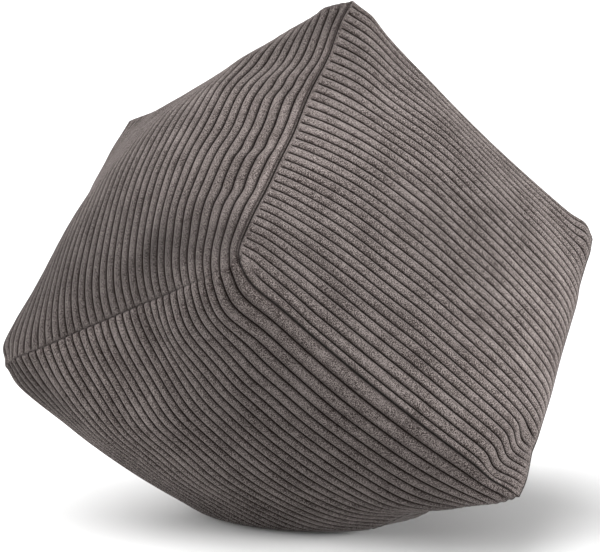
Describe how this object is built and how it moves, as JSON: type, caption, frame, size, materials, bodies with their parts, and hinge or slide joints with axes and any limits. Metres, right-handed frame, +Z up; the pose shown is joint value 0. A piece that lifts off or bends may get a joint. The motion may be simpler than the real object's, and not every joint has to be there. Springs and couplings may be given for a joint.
{
  "type": "bean bag footstool",
  "caption": "Filled corduroy cube footstool of sewn square panels, soft and crowned, resting on one crushed corner.",
  "frame": {"origin": "on the floor, in the flat patch of the crushed corner, under the middle of the bag", "axes": "+Z up; the near corner faces -Y, one corner points left (-X), another right (+X)"},
  "size_m": [0.6741, 0.6454, 0.5827],
  "materials": {
    "corduroy": "wide-wale corduroy in mid taupe brown, matt cut pile"
  },
  "bodies": {
    "root": {"bag": "corduroy"}
  },
  "joints": []
}
